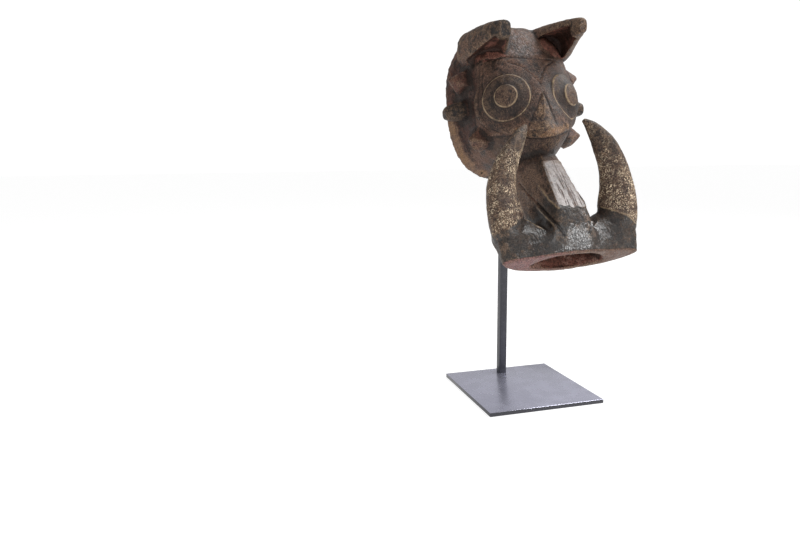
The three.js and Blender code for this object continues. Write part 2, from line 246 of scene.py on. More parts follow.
# lines cut into the carving: the same on both sides, or right across
pairedLines = {
    "browCurve": ((36, -12, 491), (20, -20, 484), (9, -30, 473), (3, -37, 464), (0, -43, 457)),
    "eyeSide": ((66, 10, 492), (69, 11, 489), (72, 5, 469), (76, -4, 447), (77, -10, 427), (74, -16, 412),
                (68, -20, 403), (62, -25, 397), (55, -33, 393), (48, -45, 390)),
    "eyeSideInner": ((66, 5, 485), (70, -3, 461), (75, -18, 436)),
    "knobEdge": ((103, 38, 474), (87, 53, 482), (81, 40, 487)),
}
crossLines = {
    "browCrease": ((-62, 9, 497), (-50, -1, 497), (-34, -8, 498), (-14, -13, 496), (9, -15, 494),
                   (31, -11, 494), (42, -8, 492)),
    "ledge": ((-46, -48, 389), (-25, -68, 383.5), (-13, -77, 382.5), (-3, -82, 384), (14, -76, 387),
              (31, -63, 391), (44, -50, 393)),
}
redLines = {
    "cheekGroove": ((32, -49, 322), (31, -83, 305), (30, -97, 298)),
}
# pale lines along edges, without a cut: wear, and along the left tusk's inner edge and web a painted
# highlight
paleEdgeLines = {
    "tuskEdge": ((47, -97, 393), (56, -107, 373), (64, -112, 360), (69, -113, 346), (70, -114, 331),
                 (69, -115, 318), (65, -117, 304), (60, -117, 288), (52, -115, 277)),
    "web": ((52, -115, 277), (46, -125, 271), (37, -133, 267)),
    "upperRidge": ((24, -92, 320), (24, -106, 311), (23, -122, 301), (19, -137, 293)),
    "lowerRidge": ((31, -100, 292), (30, -121, 282), (28, -142, 272)),
}
tuskFoot = ((58, -111, 288), (65, -126, 285), (73, -133, 282), (88, -138, 274), (95, -137, 266),
            (103, -128, 264))
almond = ((33, -92, 290), (38, -112, 281), (36, -124, 274), (31, -134, 268))
lowerGroove = ((30, -97, 298), (26, -114, 289), (24, -131, 279), (22, -146, 269), (18, -152, 260))
lineReach = 14  # how far from a drawn line the surface is looked for
lineStep = 0.2  # share of a drawn span between two places on the surface

# whole numbers that scatter a cell's place evenly
scatter = {"cell": (73856093, 19349663, 83492791), "seed": (2654435, 1013904223), "mix": 1274126177,
           "most": 0xffffff}


def smoothStep(low, high, value):
    t = np.clip((value - low) / (high - low), 0, 1)
    return t * t * (3 - 2 * t)


def zoned(ragged, **values):
    # where every named border holds at once
    share = 1.0
    for name, value in values.items():
        start, full, *fray = zoneBorders[name]
        share = share * smoothStep(start, full, value + fray[0] * ragged if fray else value)
    return share


def row(rows, place, column):
    rows = sorted(rows)
    return np.interp(place, [r[0] for r in rows], [r[column] for r in rows])


def rounded(across, upward, power):
    # 1 on the skin of a rounded section, less inside it
    return (np.abs(across) ** power + np.abs(upward) ** power) ** (1 / power)


def latticeValue(cell, seed):
    factor, start = scatter["seed"]
    key = seed * factor + start
    for column, factor in enumerate(scatter["cell"]):
        key = key ^ cell[:, column] * factor
    key = (key ^ (key >> 13)) * scatter["mix"]
    key = (key ^ (key >> 16)) & scatter["most"]
    return key / float(scatter["most"])


def unevenness(points, size, seed):
    cell = np.floor(points / size).astype(np.int64)
    part = points / size - cell
    ease = part * part * (3 - 2 * part)
    total = np.zeros(len(points))
    for corner in np.ndindex(2, 2, 2):
        weight = np.prod(np.where(np.array(corner), ease, 1 - ease), axis=1)
        total += weight * latticeValue(cell + np.array(corner), seed)
    return total


def gougeMarks(points, size, seed):
    # shallow scoops around scattered centres, with ridges where two scoops meet
    scaled = points / size
    cell = np.floor(scaled).astype(np.int64)
    nearest = np.full(len(points), 9.0)
    for step in np.ndindex(3, 3, 3):
        other = cell + np.array(step) - 1
        centre = other + np.stack([latticeValue(other, seed + k) for k in range(3)], axis=1)
        nearest = np.minimum(nearest, ((scaled - centre) ** 2).sum(axis=1))
    return 1 - np.clip(nearest, 0, 1)


def gapTo(points, line):
    gap = np.full(len(points), 1e6)
    for a, b in zip(line, line[1:]):
        a, b = np.array(a, float), np.array(b, float)
        t = np.clip((points - a) @ (b - a) / ((b - a) @ (b - a)), 0, 1)
        gap = np.minimum(gap, np.linalg.norm(points - a - t[:, None] * (b - a), axis=1))
    return gap


def laidOn(surface, line):
    # the line's points moved to the nearest places on the surface
    line = np.array(line, float)
    t = np.arange(0, len(line) - 0.999, lineStep)
    places = np.stack([np.interp(t, np.arange(len(line)), line[:, c]) for c in range(3)], axis=1)
    low, high = line.min(0) - lineReach, line.max(0) + lineReach
    nearby = surface[np.all((surface > low) & (surface < high), axis=1)]
    return [nearby[((nearby - place) ** 2).sum(axis=1).argmin()] for place in places]


def gapToLaid(surface, line):
    return gapTo(surface, laidOn(surface, line))


def relaxed(points, edges, weight, rounds):
    # points pulled to the middle of their neighbours, where the weight says so
    busy = (weight[edges[:, 0]] > 0.01) | (weight[edges[:, 1]] > 0.01)
    a, b = edges[busy].T
    used, inverse = np.unique(np.concatenate([a, b]), return_inverse=True)
    a, b = inverse[:len(a)], inverse[len(a):]
    local, pull = points[used], weight[used][:, None]
    count = np.bincount(a, minlength=len(used)) + np.bincount(b, minlength=len(used))
    count = np.maximum(count, 1)[:, None]
    for _ in range(rounds):
        total = np.stack([np.bincount(a, local[b, c], len(used)) + np.bincount(b, local[a, c], len(used))
                          for c in range(3)], axis=1)
        local = local + pull * (total / count - local)
    moved = points.copy()
    moved[used] = local
    return moved


def edgesOf(piece):
    edges = np.empty(len(piece.data.edges) * 2, np.int64)
    piece.data.edges.foreach_get("vertices", edges)
    return edges.reshape(-1, 2)


def setPoints(piece, points):
    piece.data.vertices.foreach_set("co", (points / 1000).ravel())
    piece.data.update()


def meshArrays(piece):
    # points in millimetres, and normals
    mesh = piece.data
    points = np.empty(len(mesh.vertices) * 3)
    normals = np.empty(len(mesh.vertices) * 3)
    mesh.vertices.foreach_get("co", points)
    mesh.vertex_normals.foreach_get("vector", normals)
    return points.reshape(-1, 3) * 1000, normals.reshape(-1, 3)


def foldedPlaces(points):
    # both halves of the mask laid on +X, with the lean taken out
    upright = points[:, 2] - maskForm["lean"] * points[:, 0]
    return np.stack([np.abs(points[:, 0]), points[:, 1], upright], axis=1)


def onSnout(folded):
    # along the snout from the mouth, above its middle, and behind the end face
    mouthY, mouthZ = maskForm["mouthCentre"]
    y, z = folded[:, 1] - mouthY, folded[:, 2] - mouthZ
    tilt = math.radians(maskForm["endFaceTilt"])
    return (y + z) * math.sqrt(0.5), (z - y) * math.sqrt(0.5), y * math.cos(tilt) + z * math.sin(tilt)


def maskZones(points, normals):
    # where each part of the carving is, from 0 to 1, worked out from the sizes above
    form = maskForm
    folded = foldedPlaces(points)
    side, y, z = folded.T
    x, left = points[:, 0], points[:, 0] < 0
    back, rise, behindFace = onSnout(folded)
    ragged = sum(share * (unevenness(points, size, seed) - 0.5) for size, seed, share in form["fray"])
    zones = {}

    # eyes
    turn, pitch = math.radians(form["eyeTurn"]), math.radians(form["eyePitch"])
    axis = np.array([math.sin(turn) * math.cos(pitch), -math.cos(turn) * math.cos(pitch), math.sin(pitch)])
    fromApex = folded - np.array(form["eyeApex"], float)
    height = fromApex @ axis
    radius = np.linalg.norm(fromApex - height[:, None] * axis, axis=1)
    facing = np.stack([np.sign(x) * normals[:, 0], normals[:, 1], normals[:, 2]], axis=1) @ axis
    onEye = zoned(ragged, eyeDepth=height, eyeFacing=facing)
    zones["ringRadius"] = np.where(onEye > 0.05, radius, form["offEye"])

    # tusks
    gap = np.full(len(points), 1e6)
    reach = np.ones(len(points))
    for name, here in (("leftTusk", left), ("rightTusk", ~left)):
        rows = np.array(form[name], float)
        t = np.linspace(0, len(rows) - 1, form["tuskSteps"])
        for centre in np.stack([np.interp(t, np.arange(len(rows)), rows[:, c]) for c in range(4)], axis=1):
            far = np.linalg.norm(folded - centre[:3], axis=1)
            closer = here & (far < gap)
            gap[closer], reach[closer] = far[closer], centre[3] / 2
    footHeight, footSide, footSlope = form["tuskFoot"]
    aboveFoot = z - footHeight + (side - footSide) * footSlope
    zones["tusk"] = zoned(ragged, tuskGap=gap / np.maximum(reach, form["tuskLeast"]), tuskSide=side,
                          tuskFront=y, tuskFoot=aboveFoot)

    # snout, its ridge, the end face and the mouth
    ridgeEnd, ridgeSlant = form["ridgeEnd"]
    zones["ridge"] = zoned(ragged, ridgeSide=side - row(form["ridgeHalf"], back, 1), ridgeRise=rise,
                           ridgeTop=back, ridgeEnd=back - ridgeEnd + ridgeSlant * x)
    zones["endFace"] = zoned(ragged, endFace=behindFace)
    zones["pale"] = zones["endFace"] * zoned(ragged, pale=x)
    taper = row(form["mouthTaper"], back, 1)
    across = side / (form["mouthHalf"] * taper)
    bow = taper * np.clip(1 - across ** 2, 0, 1) ** form["mouthPower"]
    fromMiddle = rise - form["mouthMiddle"]
    inMouth = zoned(ragged, mouthRoof=fromMiddle - form["mouthRoof"] * bow,
                    mouthFloor=fromMiddle + form["mouthFloor"] * bow, mouthSide=across, mouthEnd=back)
    zones["mouth"] = inMouth * (1 - zones["endFace"])
    outside = (1 - zones["tusk"]) * (1 - zones["endFace"]) * (1 - zones["mouth"]) * (1 - zones["ridge"])
    zones["muzzle"] = zoned(ragged, muzzleBack=back, muzzleTop=z) * outside
    zones["flank"] = outside * zoned(ragged, flankFront=back, flankBack=back, flankOuter=side,
                                     flankInner=side, flankRise=rise)

    # ears: scooped insides and tips
    ear = form["ear"]
    lifted = z - np.where(left, 0, form["rightEarLift"])
    ring = np.stack([(side - row(ear, y, 1)) / row(ear, y, 3), (lifted - row(ear, y, 2)) / row(ear, y, 4)],
                    axis=1)
    skin = rounded(ring[:, 0], ring[:, 1], form["earPower"])
    outward = ring / np.maximum(np.linalg.norm(ring, axis=1), 0.01)[:, None]
    inward = -outward[:, 0] * np.sign(x) * normals[:, 0] - outward[:, 1] * normals[:, 2]
    onEar = zoned(ragged, earHeight=z, earBack=y, earSide=side, earSkin=skin)
    deep = zoned(ragged, scoopDeep=skin, scoopFront=y)
    inScoop = onEar * np.maximum(zoned(ragged, scoopFacing=inward), deep)
    beforeTip = y - np.where(left, form["leftTip"], form["rightTip"])
    zones["earTip"] = zoned(ragged, earTip=beforeTip, earTipHeight=z)
    zones["earTip"] *= np.where(left, 1, form["rightTipShare"])

    # head: rim, hollow, side band
    half, widest, top, bottom = (row(form["head"], y, column) for column in (1, 2, 3, 4))
    shell = rounded(side / half, (z - widest) / np.maximum(top - widest, 1), form["headPower"])
    underEar = zoned(ragged, underEarSkin=shell, underEarHeight=z, underEarSide=side, underEarBack=y)
    zones["earInside"] = np.maximum(inScoop, underEar) * np.where(left, 1, form["rightScoopShare"])
    tall = np.where(z > widest, top - widest, widest - bottom) - form["wall"]
    within = rounded(side / np.maximum(half - form["wall"], 1), (z - widest) / np.maximum(tall, 1),
                     form["headPower"])
    (lowY, lowZ), (highY, highZ) = form["rimBottom"], form["rimTop"]
    rimY = lowY + (highY - lowY) * (z - lowZ) / (highZ - lowZ)
    zones["hollow"] = zoned(ragged, hollowSkin=within, hollowFront=y, hollowLow=z)
    outerHead = (1 - zones["hollow"]) * zoned(ragged, headFront=y, headLow=z)
    zones["rim"] = outerHead * zoned(ragged, rimBack=rimY - y, rimFacing=normals[:, 1])
    zones["sideBand"] = outerHead * zoned(ragged, bandSide=side, bandFront=y, bandTop=z)

    # nose, the lit part of the crown, and throat
    ledge = np.array(crossLines["ledge"])
    aboveLedge = z - np.interp(x, ledge[:, 0], ledge[:, 2])
    noseTop, spread, noseWidest, drift = form["nose"]
    noseHalf = np.clip((noseTop - z) * spread, 0.1, noseWidest)
    fromNose = x + drift * (noseTop - z)
    fromEdge = np.abs(fromNose) - noseHalf
    onNose = zoned(ragged, noseLedge=aboveLedge, noseTop=z, noseFront=y)
    base = zoned(ragged, baseLedge=aboveLedge, baseTop=aboveLedge, baseSide=side, baseFront=y)
    zones["nose"] = np.maximum(onNose * zoned(ragged, noseEdge=fromEdge), base)
    zones["noseBase"] = base
    zones["noseRidge"] = onNose * np.clip(1 - np.abs(fromNose) / noseHalf, 0, 1)
    # the cuts beside the nose: carved in, and given painted shade in the material; weaker on the left
    zones["noseSide"] = onNose * np.exp(-(fromEdge / form["noseCutWidth"]) ** 2)
    zones["noseSide"] *= zoned(ragged, noseCutLow=z) * np.where(fromNose > 0, 1, form["leftCutShare"])
    # the crown's lit part, facing up and reaching the right ear's shadow: it carries a painted grey sheen
    crown = zoned(ragged, crownLow=z - row(form["crownLine"], side, 1), crownLeft=x, crownRight=x,
                  crownFront=y, crownFacing=normals[:, 2])
    zones["crown"] = crown * (1 - zones["earInside"]) * (1 - zones["hollow"])
    throat = zoned(ragged, throatLedge=aboveLedge, throatLow=z, throatBack=y, throatSide=side)
    zones["underLedge"] = throat * (1 - zones["ridge"]) * (1 - zones["tusk"])

    # knobs
    for name, (point, toward, long, foot, blunt) in form["knobs"].items():
        toward = np.array(toward) / np.linalg.norm(toward)
        along = (folded - np.array(point, float)) @ toward
        off = np.linalg.norm(folded - np.array(point, float) - along[:, None] * toward, axis=1)
        size = np.maximum(foot * np.clip(-along / long, 0.3, 1), 1.15 * blunt)
        zones[name + "Knob"] = zoned(ragged, knobSide=off / size, knobRoot=along / long)

    # distances to the lines
    own = np.stack([x, y, z], axis=1)
    cuts = [gapToLaid(folded, line) for line in pairedLines.values()]
    cuts += [gapToLaid(own, line) for line in crossLines.values()]
    zones["lineGap"] = np.min(cuts, axis=0)
    zones["redGap"] = np.min([gapToLaid(folded, line) for line in redLines.values()], axis=0)
    zones["redGap"] += np.where(left, 0, 99)  # on the left only
    onLeft = np.min([gapToLaid(folded, line) for line in paleEdgeLines.values()], axis=0)
    zones["paleEdgeGap"] = np.where(left, onLeft, gapToLaid(folded, tuskFoot))
    return zones, folded


# carving in millimetres, except the voxel, which is in metres
maskCarving = {
    "voxel": 0.0014, "triangles": 194000, "softened": 3,
    "pull": 0.6, "middleKnob": 0.7,
    "snoutRounds": 45, "rimRounds": 22, "knobRounds": 15, "cornerRounds": 70,
    # tool marks: kind, size, seed, depth, stretch, and the share left out on end face, eyes and tusks
    "marks": (
        (gougeMarks, 10.0, 3, 0.8, (1, 1, 0.8), (0.75, 0.6, 0.45)),
        (unevenness, 34.0, 5, 1.1, (1, 1, 1), (0.7, 0, 0)),
        (unevenness, 9.0, 6, 0.35, (1, 1, 1), (0, 0, 0)),
        (gougeMarks, 4.6, 15, 0.4, (1, 1, 1), (0.6, 0.5, 0)),
    ),
    "hollowMarks": (15, 8, 1.9, (1, 0.5, 1)),  # size, seed, depth, stretch
    "evenOut": 1.3, "lineDepth": 1.1, "lineWidth": 1.4, "redWidth": 1.3,
    "grooveDepth": 3.4, "grooveWidth": 2.5, "almondDepth": 4.0, "almondWidth": 6,
    "ridgeHeight": 1.6, "ridgeWidth": 2.6, "noseHeight": 2.4, "noseCut": 1.4,
    "ledgeStep": 2.6, "bandDepth": 2.2,
    "bulge": (2.2, 252, 9),  # the muzzle's ends: how far, at what height, how tall
    "raisedMost": 2.4, "linesKept": 3.2, "ringsKept": 2.5,
    "nearRounds": 12, "wideRounds": 70, "wearAndShadeMost": 3, "proudMost": 8,
}


def softPlaces(points, zones):
    # where the wood flows over without an edge: the snout's end, the muzzle's rim, knobs, a knob's corner
    folded = foldedPlaces(points)
    side = folded[:, 0]
    back, rise, behindFace = onSnout(folded)
    outside = (1 - zones["mouth"]) * (1 - zones["tusk"])
    snout = zoned(0, flowFace=behindFace, flowBack=back, flowRise=rise, flowSide=side)
    rim = zoned(0, muzzleRim=behindFace, muzzleRimSide=side)
    middle = maskCarving["middleKnob"] * zones["middleKnob"]
    knobs = np.max([zones["upperKnob"], zones["lowerKnob"], middle], axis=0)
    fromCorner = np.linalg.norm(folded - np.array(maskForm["knobCorner"], float), axis=1)
    return {"snoutRounds": snout * outside, "rimRounds": rim * outside, "knobRounds": knobs,
            "cornerRounds": zoned(0, knobCorner=fromCorner)}


def depthOfCuts(points, zones, folded):
    # how far the surface goes in, in millimetres
    carving = maskCarving
    spared = (zones["endFace"], zoned(0, eyeDish=zones["ringRadius"]), zones["tusk"])
    sunk = np.zeros(len(points))
    for marks, size, seed, depth, stretch, shares in carving["marks"]:
        shown = np.prod([1 - share * zone for share, zone in zip(shares, spared)], axis=0)
        sunk += depth * marks(points * np.array(stretch), size, seed) * shown
    size, seed, depth, stretch = carving["hollowMarks"]
    sunk += depth * zones["hollow"] * gougeMarks(points * np.array(stretch), size, seed)
    # both ways about the solid's skin, but only inwards at its outermost places
    inset = np.minimum(points - np.array(cadLow) * 1000, np.array(cadHigh) * 1000 - points).min(axis=1)
    sunk -= carving["evenOut"] * zoned(0, outermost=inset)
    sunk += carving["noseCut"] * zones["noseSide"]
    sunk += carving["ledgeStep"] * zones["underLedge"] * zoned(0, ledgeFade=folded[:, 2])
    cut = np.exp(-(zones["lineGap"] / carving["lineWidth"]) ** 2)
    cut += np.exp(-(zones["redGap"] / carving["redWidth"]) ** 2)
    sunk += carving["lineDepth"] * np.clip(cut, 0, 1)
    knobs = np.max([zones[name + "Knob"] for name in maskForm["knobs"]], axis=0)
    sunk += carving["bandDepth"] * zones["sideBand"] * (1 - zones["rim"]) * (1 - knobs)
    offTusk = 1 - zones["tusk"]
    hollowed = gapToLaid(folded, almond) / carving["almondWidth"]
    sunk += offTusk * carving["almondDepth"] * np.exp(-hollowed ** 2)
    groove = gapToLaid(folded, lowerGroove) / carving["grooveWidth"]
    sunk += offTusk * carving["grooveDepth"] * np.clip(1 - groove, 0, 1)
    return sunk


def heightOfRidges(zones, folded):
    # how far the surface comes out, in millimetres
    carving = maskCarving
    side, y, z = folded.T
    raised = carving["noseHeight"] * zones["noseRidge"]
    bulge, middle, tall = carving["bulge"]
    raised += bulge * zoned(0, bulgeSide=side, bulgeFront=y) * np.exp(-((z - middle) / tall) ** 2)
    for name in ("web", "upperRidge", "lowerRidge"):
        gap = gapToLaid(folded, paleEdgeLines[name]) / carving["ridgeWidth"]
        raised += (1 - zones["tusk"]) * carving["ridgeHeight"] * np.exp(-gap ** 2)
    return np.clip(raised, 0, carving["raisedMost"])


def carveMask():
    carving = maskCarving
    piece = copyOfNode("mask", "warthogMask")
    applied(piece, "REMESH", mode="VOXEL", voxel_size=carving["voxel"])
    applied(piece, "SMOOTH", factor=0.5, iterations=carving["softened"])
    points, normals = meshArrays(piece)
    zones, folded = maskZones(points, normals)
    edges = edgesOf(piece)
    for rounds, weight in softPlaces(points, zones).items():
        points = relaxed(points, edges, carving["pull"] * weight, carving[rounds])
    setPoints(piece, points)
    print("mask remeshed:", len(points), "points")

    points, normals = meshArrays(piece)
    zones, folded = maskZones(points, normals)
    outwards = heightOfRidges(zones, folded) - depthOfCuts(points, zones, folded)
    setPoints(piece, points + normals * outwards[:, None])
    print("mask carved")

    # thinned, but not along the lines
    fine = np.min([zones["lineGap"], zones["redGap"], zones["paleEdgeGap"]], axis=0) < carving["linesKept"]
    for ring in maskForm["eyeRings"]:
        fine |= np.abs(zones["ringRadius"] - ring) < carving["ringsKept"]
    piece.vertex_groups.new(name="lines").add(np.flatnonzero(fine).tolist(), 1.0, "REPLACE")
    piece.data.calc_loop_triangles()
    applied(piece, "DECIMATE", ratio=min(1.0, carving["triangles"] / len(piece.data.loop_triangles)),
            vertex_group="lines", invert_vertex_group=True, vertex_group_factor=1.0)
    piece.vertex_groups.clear()

    # zones kept on the mesh for the material, with wear and painted shade, and how proud each place is
    points, normals = meshArrays(piece)
    zones, folded = maskZones(points, normals)
    whole, edges = np.ones(len(points)), edgesOf(piece)
    near = relaxed(points, edges, whole, carving["nearRounds"])
    wide = relaxed(near, edges, whole, carving["wideRounds"])
    for name, smoothed in (("wearAndShade", near), ("proud", wide)):
        most = carving[name + "Most"]
        zones[name] = np.clip(((points - smoothed) * normals).sum(axis=1), -most, most)
    for name, values in zones.items():
        field = piece.data.attributes.new(name, "FLOAT", "POINT")
        field.data.foreach_set("value", values.astype(np.float32))
    pickOnly(piece)
    bpy.ops.object.shade_smooth()
    print("mask thinned:", len(piece.data.polygons), "faces")
    return piece


# finish shared by all pieces: fine grime and rubbed places
def finishGroup():
    group = bpy.data.node_groups.new("handledFinish", "ShaderNodeTree")
    for name, kind, standard in (("Place", "NodeSocketVector", None), ("Scale", "NodeSocketFloat", 60.0),
                                 ("Fine", "NodeSocketFloat", 600.0)):
        socket = group.interface.new_socket(name, in_out="INPUT", socket_type=kind)
        if standard is not None:
            socket.default_value = standard
    for name in ("Blotch", "Grit", "Scratch"):
        group.interface.new_socket(name, in_out="OUTPUT", socket_type="NodeSocketFloat")
    start, end = put(group, "NodeGroupInput"), put(group, "NodeGroupOutput")
    place, scale, fine = start.outputs[:3]
    blotch = noiseOf(group, place, scale, 4.0, 0.6)
    grit = noiseOf(group, place, fine, 2.0, 0.6)
    long = stretched(group, place, (1.0, 1.0, 0.12), (0.5, 0.3, 0))
    scratch = between(group, noiseOf(group, long, fine, 1.0), 0.62, 0.72)
    for socket, value in zip(end.inputs, (blotch, grit, scratch)):
        group.links.new(value, socket)
    return group


handledFinish = finishGroup()


def finishOn(tree, place, scale, fine):
    finish = put(tree, "ShaderNodeGroup", node_tree=handledFinish)
    tree.links.new(place, finish.inputs["Place"])
    finish.inputs["Scale"].default_value = scale
    finish.inputs["Fine"].default_value = fine
    return finish.outputs


maskColours = {
    "woodDark": (0.016, 0.0095, 0.007, 1), "wood": (0.105, 0.056, 0.038, 1),
    "woodLight": (0.21, 0.13, 0.098, 1), "bare": (0.15, 0.095, 0.06, 1), "raw": (0.13, 0.08, 0.05, 1),
    "black": (0.0105, 0.0085, 0.008, 1), "olive": (0.034, 0.024, 0.017, 1),
    "red": (0.115, 0.036, 0.023, 1), "deepRed": (0.045, 0.016, 0.012, 1),
    "earRed": (0.195, 0.085, 0.062, 1), "throat": (0.33, 0.20, 0.16, 1), "pink": (0.17, 0.08, 0.073, 1),
    "ochre": (0.21, 0.12, 0.055, 1), "amber": (0.30, 0.13, 0.035, 1),
    "bark": (0.16, 0.10, 0.068, 1), "tan": (0.24, 0.15, 0.10, 1), "umber": (0.055, 0.031, 0.022, 1),
    # grey is the snout strip's dry wood, and also the painted sheen on the lit part of the crown
    "cream": (0.76, 0.61, 0.43, 1), "line": (0.36, 0.26, 0.16, 1), "grey": (0.56, 0.525, 0.515, 1),
}

# paint by zone: colour, where the paint starts, where it is full, thickness
maskPaints = {
    "sideBand": ("deepRed", 0.6, 1.2, 0.8),
    "rim": ("red", 0.7, 1.2, 0.6), "lowRim": ("tan", 0.55, 1.25, 0.85),
    "lowRimStain": ("ochre", 0.7, 1.25, 0.7),
    "nose": ("ochre", 0.85, 1.4, 0.85), "noseBase": ("amber", 0.85, 1.35, 0.7),
    "flank": ("bark", 0.3, 1.0, 0.95),
    "upperKnob": ("red", 0.5, 1.2, 0.6), "lowerKnob": ("red", 0.6, 1.3, 0.55),
    "middleKnob": ("black", 0.2, 0.7, 0.92),
    "earInside": ("deepRed", 0.1, 0.5, 0.95), "earTip": ("black", 0.25, 0.8, 0.92),
    "hollow": ("raw", 0.3, 0.9, 0.85), "muzzle": ("olive", 0.2, 0.9, 0.9),
    # under the ledge: painted shade in dark wood
    "underLedge": ("woodDark", 0.3, 0.9, 0.6),
    "eye": ("woodDark", 0.3, 1.0, 0.85), "darkRing": ("black", 0.45, 1.1, 0.7),
    "endFace": ("wood", 0.2, 0.8, 0.9), "pale": ("pink", 0.3, 1.0, 0.92),
    "mouth": ("throat", 0.2, 0.8, 0.95),
}

# grain sizes of the patterns, shine and relief
maskFinish = {
    "blotch": 60.0, "grit": 580.0, "broad": 20.0, "mottle": 150.0, "grain": 480.0,
    "cracks": 230.0, "hatch": 620.0, "threads": (230.0, 330.0), "threadGaps": 480.0, "pebble": 420.0,
    "snoutTurn": (math.radians(-45), 0, 0),
    "shine": 0.3, "coatRough": 0.16, "coatIor": 2.0, "pebbleDepth": 0.0009,
    "reliefStrength": 0.9, "reliefDepth": 0.0027,
}


def maskMaterial():
    colour, settings = maskColours, maskFinish
    material = bpy.data.materials.new("carvedWood")
    material.use_nodes = True
    tree = material.node_tree
    shader = tree.nodes["Principled BSDF"]
    shader.inputs["Specular IOR Level"].default_value = settings["shine"]
    place = put(tree, "ShaderNodeTexCoord").outputs["Object"]
    across, _, height = put(tree, "ShaderNodeSeparateXYZ", {0: place}).outputs
    blotch, grit, scratch = finishOn(tree, place, settings["blotch"], settings["grit"])
    broad = noiseOf(tree, place, settings["broad"], 3.0, 0.6)
    mottle = noiseOf(tree, place, settings["mottle"], 6.0, 0.72)
    grain = noiseOf(tree, stretched(tree, place, (1.0, 1.0, 0.1)), settings["grain"], 3.0, 0.6, 0.4)

    def times(a, b):
        return calc(tree, "MULTIPLY", a, b)

    def plus(a, b):
        return calc(tree, "ADD", a, b)

    def less(a, b):
        return calc(tree, "SUBTRACT", a, b)

    def most(a, b):
        return calc(tree, "MAXIMUM", a, b)

    def field(name):
        return fieldOf(tree, name)

    def ramp(value, low, high, start=0.0, end=1.0):
        return between(tree, value, low, high, start, end)

    # bare wood, darker in the hollows with painted shade and grime, and paler where it stands proud
    wearAndShade, proud, radius = field("wearAndShade"), field("proud"), field("ringRadius")
    patchy = plus(times(blotch, 0.5), times(mottle, 0.5))
    tone = plus(plus(times(broad, 0.3), times(blotch, 0.35)), times(mottle, 0.35))
    base = blended(tree, ramp(tone, 0.42, 0.56), colour["woodDark"], colour["wood"])

    def tinted(share, paint):
        nonlocal base
        base = blended(tree, share, base, colour[paint])

    def painted(name, share=None):
        # paint that is worn through in blotches where it is thin
        paint, low, high, thick = maskPaints[name]
        share = field(name) if share is None else share
        cover = plus(share, times(less(patchy, 0.5), 1.8))
        cover = times(ramp(cover, low, high), times(ramp(share, 0.02, 0.2), thick))
        tinted(cover, paint)
        return cover

    tinted(times(ramp(grain, 0.52, 0.68), 0.45), "woodLight")
    rubbed = times(ramp(proud, 0.5, 5.0), ramp(mottle, 0.4, 0.6))
    tinted(times(rubbed, ramp(radius, 40.0, 50.0, 0.25, 1.0)), "bare")

    # old paint on the head, its rim, nose, knobs and ears, and painted shade under the ledge
    rim, nose = field("rim"), field("nose")
    painted("sideBand")
    painted("rim", rim)
    lowRim = times(rim, ramp(height, 0.44, 0.40, 0.4, 1.0))
    painted("lowRim", lowRim)
    painted("lowRimStain", lowRim)
    painted("nose", nose)
    painted("noseBase")
    painted("flank", times(field("flank"), 0.8))
    painted("upperKnob")
    painted("lowerKnob")
    earInside = painted("earInside")
    tinted(times(earInside, ramp(tone, 0.40, 0.54, 0.2, 0.95)), "earRed")
    hollow = field("hollow")
    painted("hollow", hollow)
    tinted(times(hollow, ramp(grain, 0.48, 0.62, 0.0, 0.55)), "wood")
    muzzle = painted("muzzle")
    tinted(times(muzzle, ramp(blotch, 0.40, 0.56, 0.1, 0.9)), "black")
    tinted(times(muzzle, ramp(mottle, 0.50, 0.62, 0.0, 0.25)), "wood")
    painted("middleKnob")
    painted("earTip", times(field("earTip"), less(1.0, field("earInside"))))
    # painted shade: dark wood laid under the ledge
    throat = field("underLedge")
    painted("underLedge", times(throat, 0.7))

    # eyes: a dark ring around the pupil
    painted("eye", ramp(radius, 49.0, 40.0, 0.0, 0.6))
    darkRing = times(ramp(radius, 15.0, 17.5), ramp(radius, 33.5, 27.0))
    painted("darkRing", times(darkRing, 0.85))

    # end face, mouth, painted grey sheen on the lit part of the crown, and the snout's rubbed ridge
    painted("endFace")
    painted("pale")
    mouth = painted("mouth")
    tinted(times(mouth, ramp(tone, 0.44, 0.54, 0.1, 0.9)), "red")
    alongSnout = stretched(tree, place, (1.0, 0.05, 1.0), settings["snoutTurn"])
    cracks = noiseOf(tree, alongSnout, settings["cracks"], 3.0, 0.7, 0.3)
    ridge = field("ridge")
    dry = times(ramp(ridge, 0.35, 0.65), ramp(cracks, 0.36, 0.47))
    dry = times(dry, ramp(height, 0.30, 0.355, 1.0, 0.58))
    tinted(times(dry, ramp(mottle, 0.35, 0.55, 0.6, 0.95)), "grey")
    crown = field("crown")
    strokes = stretched(tree, place, (1.0, 0.25, 0.25), (0, 0.25, 0))
    hatch = noiseOf(tree, strokes, settings["hatch"], 2.0, 0.6)
    # painted sheen: grey strokes on the lit part of the crown
    tinted(times(crown, ramp(hatch, 0.42, 0.62, 0.0, 0.18)), "grey")
    tinted(times(times(throat, ramp(hatch, 0.54, 0.66)), 0.45), "bare")

    # tusks: rubbed brown, with chalk left in squiggles
    tusk = field("tusk")
    tinted(times(tusk, 0.75), "umber")
    tinted(times(tusk, ramp(tone, 0.46, 0.6, 0.0, 0.4)), "bare")
    tinted(times(tusk, ramp(height, 0.34, 0.385, 0.0, 0.8)), "woodDark")
    threads = 0.0
    for scale in settings["threads"]:
        swirl = noiseOf(tree, place, scale, 1.0, 0.5, 0.8)
        threads = most(threads, ramp(calc(tree, "ABSOLUTE", less(swirl, 0.5)), 0.05, 0.022))
    threads = times(threads, ramp(noiseOf(tree, place, settings["threadGaps"], 1.0), 0.42, 0.52))
    dense = ramp(plus(times(broad, 0.35), times(blotch, 0.65)), 0.44, 0.56, 0.05, 1.0)
    dense = times(dense, ramp(height, 0.385, 0.345, 0.3, 1.0))
    onNose = times(nose, ramp(mottle, 0.47, 0.57))
    chalk = times(times(threads, dense), plus(tusk, onNose))
    tinted(times(chalk, 0.9), "cream")
